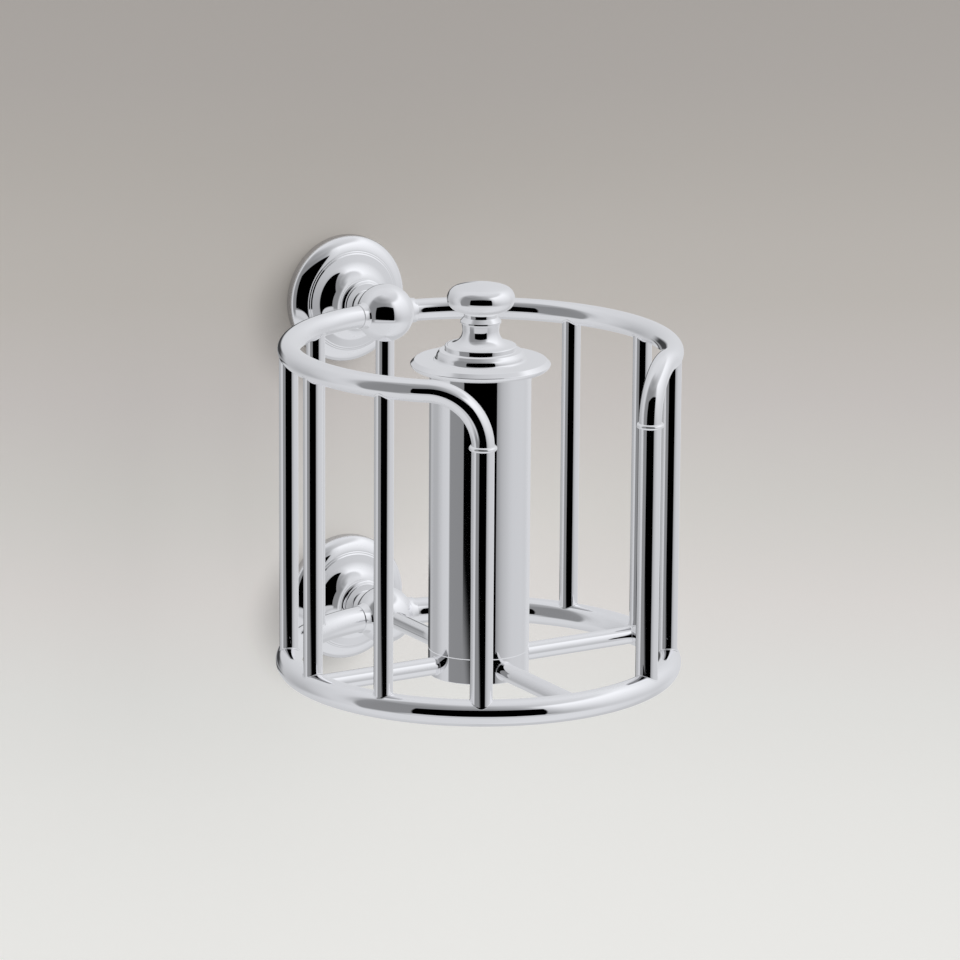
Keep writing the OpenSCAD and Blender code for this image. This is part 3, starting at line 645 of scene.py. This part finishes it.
for level, z, rod_r in (("upper", rail_z, rail_r), ("lower", base_z, base_r)):
    flange("flange_" + level, np.array((0.0, 0.0, z)))
    neck("neck_" + level, np.array((0.0, 0.0, z)))
    ball(level, z, rod_r)


# The hub and the spindle


def spindle(name, corners):
    """A piece of the spindle, whose outline closes on itself round the stud's hole."""
    turned(name, soft(corners, closed=True), name, body="spindle", loop=True)


def hub():
    """The hub: a round block with a countersunk hole for the peg's screw."""
    top, bottom = hub_high[2], hub_low[2]
    sink_r, sink_depth, screw_r = 4.75, 2.2, 2.55
    turned("hub", soft([
        (sink_r, bottom, 0.1), (tube_r, bottom, 0.3), (tube_r, top, 0.1), (screw_r, top, 0.1),
        (screw_r, bottom + sink_depth, 0.1),
    ], closed=True), "hub", loop=True)


def spindle_tube():
    """The spindle's tube."""
    wall = 1.05
    bore, bottom = tube_r - wall, tube_low[2]
    spindle("spindle_tube", [
        (bore, bottom, 0.15), (tube_r, bottom, 0.12), (tube_r, tube_top, 0.1), (bore, tube_top, 0.1),
    ])


def spindle_disc():
    """The disc: a flat top, a slope at its rim, and an underside that swells towards the tube."""
    rim_h, slope_w = 1.8, 1.6
    low_turn, high_turn = 62, 15  # degrees below level, where the underside's rounding starts and would end
    low, high = math.radians(low_turn), math.radians(high_turn)
    swell_r = rim_h / (math.sin(low) - math.sin(high))
    rim = tube_top + rim_h
    middle = (disc_r - swell_r * math.cos(high), rim + swell_r * math.sin(high))
    spindle("spindle_disc", [
        (BOLT_HOLE_R, tube_top, 0.1), *arc(middle, (swell_r, swell_r), -low_turn, -high_turn - 2, 32),
        (disc_r, rim, 0.3), (disc_r - slope_w, disc_top, 0.5), (BOLT_HOLE_R, disc_top, 0.1),
    ])


def finial_foot():
    """The finial's foot: a hollow ledge, a round side that runs into a slope, and a thin tier on top."""
    ledge_r, round_r = 1.0, 2.6
    side_turn, slope_turn = 5, 36  # degrees above level, where the round side starts and ends
    tier_r, tier_h, tier_round, tier_ledge = 13.4, 2.1, 0.5, 0.3
    foot_r = (foot_high[0] - foot_low[0]) / 2 - ledge_r
    foot_top = tier_top - tier_h
    lean = math.radians(slope_turn)
    side_middle = (foot_r - round_r * math.cos(math.radians(side_turn)), disc_top + ledge_r)
    slope_h = foot_top - side_middle[1] - round_r * math.sin(lean)
    slope_end = side_middle[0] + round_r * math.cos(lean) - slope_h * math.tan(lean)
    spindle("finial_foot", [
        (BOLT_HOLE_R, disc_top, 0.1),
        *arc((foot_r + ledge_r, disc_top + ledge_r), (ledge_r, ledge_r), 270, 180, 16),
        *arc(side_middle, (round_r, round_r), side_turn, slope_turn, 32), (slope_end, foot_top, 0.1),
        *arc((tier_r + 0.2, foot_top + tier_ledge), (tier_ledge, tier_ledge), 270, 180, 12),
        *arc((tier_r - tier_round, tier_top - tier_round), (tier_round, tier_round), 0, 90, 12),
        (BOLT_HOLE_R, tier_top, 0.1),
    ])


def finial_neck():
    """The finial's neck: a hollow waist, a collar, and a thin reel under the knob."""
    foot_r, waist_r, waist_w, waist_h = 12.5, 6.85, 5.7, 5.6
    collar_r, collar_h, collar_slope, collar_below = 7.65, 0.6, 0.4, 3.2
    reel_r, reel_h, reel_below, top_r = 6.3, 1.2, 1.68, 5.5
    collar_z, reel_z = neck_top - collar_below, neck_top - reel_below
    spindle("finial_neck", [
        (BOLT_HOLE_R, tier_top, 0.1), (foot_r, tier_top, 0),
        *arc((waist_r + waist_w, tier_top + waist_h), (waist_w, waist_h), 270, 180, 48),
        (waist_r + (collar_r - waist_r) * 0.4, collar_z - collar_h - collar_slope, 0.2),
        (collar_r, collar_z - collar_h, 0.15), (collar_r, collar_z, 0.15),
        (reel_r, reel_z, 0.15), (reel_r, reel_z + reel_h, 0.15), (top_r, neck_top, 0),
        (BOLT_HOLE_R, neck_top, 0.1),
    ])


def knob():
    """The knob: a low crown above and below, which run into a round side of a smaller radius."""
    half_h, side_r, seat_r, inner_r, core_r = 5.8, 4.6, 5.5, 5.2, 3.0
    side_place = (knob_high[0] - knob_low[0]) / 2 - side_r
    crown_r = (side_place**2 + half_h**2 - side_r**2) / (2 * (half_h - side_r))
    drop = crown_r - half_h
    side_end = math.degrees(math.atan2(drop, side_place))
    middle = neck_top + math.sqrt(crown_r**2 - seat_r**2) - drop
    crown = (crown_r, crown_r)
    turned("knob", soft([
        (core_r, neck_top, 0), (inner_r, neck_top, 0),
        *arc((0, middle + drop), crown, -math.degrees(math.acos(seat_r / crown_r)), -side_end, 20),
        *arc((side_place, middle), (side_r, side_r), -side_end, side_end, 120)[1:-1],
        *arc((0, middle - drop), crown, side_end, 89.7, 60),
    ]), "knob", body="spindle")


tube_top = tube_high[2]
disc_low, disc_high = span("spindle_disc")
disc_r, disc_top = (disc_high[0] - disc_low[0]) / 2, disc_high[2]
foot_low, foot_high = span("finial_foot")
tier_top = foot_high[2]
knob_low, knob_high = span("knob")
neck_top = knob_low[2]
hub()
spindle_tube()
spindle_disc()
finial_foot()
finial_neck()
knob()


# Finishes of the pieces that stay as the CAD made them

for name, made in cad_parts.items():
    if name.startswith(("wall_screws", "grub_screw", "tie_bolt", "peg_screw")):
        finish_of = screw_steel
    elif name == "guide_bush":
        finish_of = nylon
    elif name.startswith(("wall_plate", "peg", "retaining_ring", "tube_plug", "spindle_stud")):
        finish_of = steel
    else:
        finish_of = chrome
    made.data.materials.clear()
    made.data.materials.append(finish_of)
    made.visible_glossy = False


# The studio: what the chrome mirrors

FRONT = math.radians(-30.89)  # the direction that the dark card faces the object from
# Tones round about: straight behind the object (-180), on the left (-90), at the card (0), on the right (90)
LOW = (
    (-180, 216), (-144, 190), (-126, 178), (-113, 179), (-101, 196), (-91, 208), (-74, 213), (-71, 140),
    (-41, 138), (40, 150), (49, 179), (57, 190), (65, 197), (73, 204), (82, 208), (110, 210), (126, 208),
    (144, 218), (180, 216),
)
HIGH = (
    (-180, 218), (-90, 216), (-82, 205), (-74, 150), (-60, 137), (-30, 138), (0, 140), (25, 160),
    (33, 182), (40, 226), (50, 252), (60, 255), (110, 255), (130, 244), (150, 232), (180, 218),
)
UPPER = (
    (-180, 223), (-100, 220), (-88, 215), (-80, 188), (-70, 168), (-50, 157), (-30, 152), (0, 162),
    (30, 184), (50, 202), (70, 212), (100, 218), (140, 228), (180, 223),
)
FLOOR = (
    (-180, 200), (-120, 210), (-85, 217), (-20, 217), (20, 219), (40, 222), (80, 224), (120, 216),
    (140, 200), (180, 200),
)
ZENITH = 220
BACKDROP = (205, 202, 197)  # what a view past the wall's edge or from behind sees


def studio():
    """The light from every direction: a dark card in front, grey panels beside and above it, and a wide soft
    light on the right. A direction is its turn to the right of the card's middle and its rise above level.
    """
    world = bpy.data.worlds.new("studio")
    bpy.context.scene.world = world
    world.use_nodes = True
    tree = world.node_tree
    tree.nodes.clear()
    x, y, z = parts(tree, node(tree, "ShaderNodeTexCoord"))
    aside = x * math.cos(FRONT) + y * math.sin(FRONT)
    ahead = x * math.sin(FRONT) - y * math.cos(FRONT)
    turn = aside.maths("ARCTAN2", ahead) * (180 / math.pi)
    rise = z.maths("ARCSINE") * (180 / math.pi)
    where = turn / 360 + 0.5
    low, high, upper, floor = (
        ramp(where, [(degrees / 360 + 0.5, tone) for degrees, tone in stops])
        for stops in (LOW, HIGH, UPPER, FLOOR)
    )
    tone = low + (high - low) * rise.clear(-14, 42, "LINEAR")
    tone = tone + (upper - tone) * rise.clear(44, 56)
    tone = tone + (light(ZENITH) - tone) * rise.clear(60, 88)
    tone = tone + (floor - tone) * rise.clear(-20, -34)
    # The floor just under the card, in one tone
    under_card = turn.clear(-50, -36) * turn.clear(52, 38) * rise.clear(-30, -24) * rise.clear(-17, -19)
    tone = tone + (light(205) - tone) * under_card
    # The card itself: upright sides, a slanting lower edge and a slightly bent upper edge
    bottom, top = turn * (-1 / 18) - 17.5, turn * turn * -0.0059 + 36.8
    card = turn.clear(-37.8, -36.4) * turn.clear(39.4, 38.0)
    card = card * (rise - bottom).clear(-0.7, 0.7) * (top - rise).clear(-1.2, 1.2)
    tone = tone * (1 - card)
    # A dark panel low down on the left, behind the object: it draws the dark lines along left-hand edges
    behind = turn.clear(-180, -177) * turn.clear(-140, -156)
    unlit = behind * rise.clear(7, 0) * (0.5 + 0.42 * (rise.clear(-14.9, -15.3) + rise.clear(-12, -9)))
    unlit = unlit * rise.clear(-18.5, -16.5)
    tone = tone * (1 - unlit)
    tinted = node(tree, "ShaderNodeCombineXYZ", {0: tone * 0.985, 1: tone, 2: tone * 1.03})
    plain = (*map(light, BACKDROP), 1)
    seen = node(tree, "ShaderNodeLightPath")
    colour = mix(tree, seen, tinted, plain)
    finish(tree, node(tree, "ShaderNodeBackground", {"Color": colour}), "ShaderNodeOutputWorld")


studio()


# Where the photograph was taken from

EYE = np.array((-1032.846, -1832.121, 519.439))
VIEW = np.array([
    (0.859005, 0.120128, -0.497674),
    (-0.511923, 0.214312, -0.831869),
    (0.006727, 0.969350, 0.245592),
])  # its columns point to the right, up and back
LENS, SENSOR = 207.725, 36.0


# The wall: a painted plane behind the flanges, seen from the room's side only

PAINT = (
    (0.0, (164, 159, 154)), (0.083, (167, 162, 157)), (0.167, (172, 167, 161)), (0.25, (178, 173, 167)),
    (0.3125, (181, 176, 170)), (0.417, (190, 185, 181)), (0.521, (199, 196, 191)),
    (0.625, (210, 206, 202)), (0.729, (216, 215, 211)), (0.833, (222, 221, 217)),
    (0.917, (225, 224, 220)), (1.0, (227, 226, 222)),
)  # tones by the share of the way down the photograph
WALL_GLOW = 0.6
SHADE_ASIDE, SHADE_BELOW = 11.5, 7.0  # from a flange's middle to the middle of the soft shade painted beside it
SHADE_OUTER, SHADE_INNER = 34, 12  # radii between which that painted shade deepens
# How much the painted shade darkens the wall's colour at its deepest
SHADE_DEPTH = 0.34
NEAR, FAR = 0.004, 0.012  # metres from a flange over which the wall leaves its reflections


def wall():
    """A plain painted wall, dark at the top and pale at the bottom, with a soft shade painted into its colour
    beside each flange.
    """
    mesh = bpy.data.meshes.new("wall")
    half, y = 3.0, 0.0002
    corners = [(-half, y, -half), (half, y, -half), (half, y, half), (-half, y, half)]
    mesh.from_pydata(corners, [], [(0, 1, 2, 3)])
    made = bpy.data.objects.new("wall", mesh)
    bpy.context.scene.collection.objects.link(made)
    paint, tree = material("wall_paint_and_shade")
    place = node(tree, "ShaderNodeTexCoord", output=3)
    x, _, z = parts(tree, place)

    def along(way):
        return x * (1000 * way[0]) + z * (1000 * way[2]) - EYE @ way

    _, up, back = VIEW.T
    down = 0.5 - along(up) * (LENS / SENSOR) / along(-back)
    colour = ramp(down, PAINT)
    # A soft shade painted into the wall's colour to the left of and below each flange, where a light from the
    # right would cast it
    painted_lit = 1.0
    for level in (rail_z, base_z):
        aside, above = x * 1000 + SHADE_ASIDE, z * 1000 + (SHADE_BELOW - level)
        off = (aside * aside + above * above).maths("SQRT")
        painted_lit = (1 - off.clear(SHADE_OUTER, SHADE_INNER) * SHADE_DEPTH) * painted_lit
    black = (0, 0, 0, 1)
    # The painted shade darkens the wall's colour towards black, in its paint and in its glow
    colour = mix(tree, 1 - painted_lit, colour, black)
    grain = noise(tree, place, 1.5, 3.0)
    normal = node(tree, "ShaderNodeBump", {"Strength": 0.2, "Distance": 0.00002, "Height": grain})
    seen = node(tree, "ShaderNodeLightPath")
    bounce = node(tree, "ShaderNodeLightPath", output="Is Glossy Ray")
    painted = node(tree, "ShaderNodeBsdfPrincipled", {
        "Base Color": colour, "Roughness": 0.9, "Specular IOR Level": 0.0, "Normal": normal,
        "Emission Color": mix(tree, seen + bounce * 0.5, black, colour), "Emission Strength": WALL_GLOW,
    })
    behind = node(tree, "ShaderNodeNewGeometry", output="Backfacing")
    clear = node(tree, "ShaderNodeBsdfTransparent")
    # A reflection shows the wall only where it is close: in the edges of the flanges
    far = node(tree, "ShaderNodeLightPath", output="Ray Length").clear(NEAR, FAR)
    hidden = 1 - (1 - behind) * (1 - bounce * far)
    finish(tree, node(tree, "ShaderNodeMixShader", {0: hidden, 1: painted, 2: clear}))
    mesh.materials.append(paint)


wall()


# The camera

camera = bpy.data.objects.new("camera", bpy.data.cameras.new("camera"))
camera.data.lens, camera.data.sensor_width = LENS, SENSOR
camera.data.clip_start, camera.data.clip_end = 0.1, 20.0
camera.matrix_world = Matrix([(*row, place / 1000) for row, place in zip(VIEW, EYE)] + [(0, 0, 0, 1)])
bpy.context.scene.collection.objects.link(camera)
bpy.context.scene.camera = camera
bpy.context.scene.view_settings.view_transform = "Standard"

bpy.context.view_layer.update()
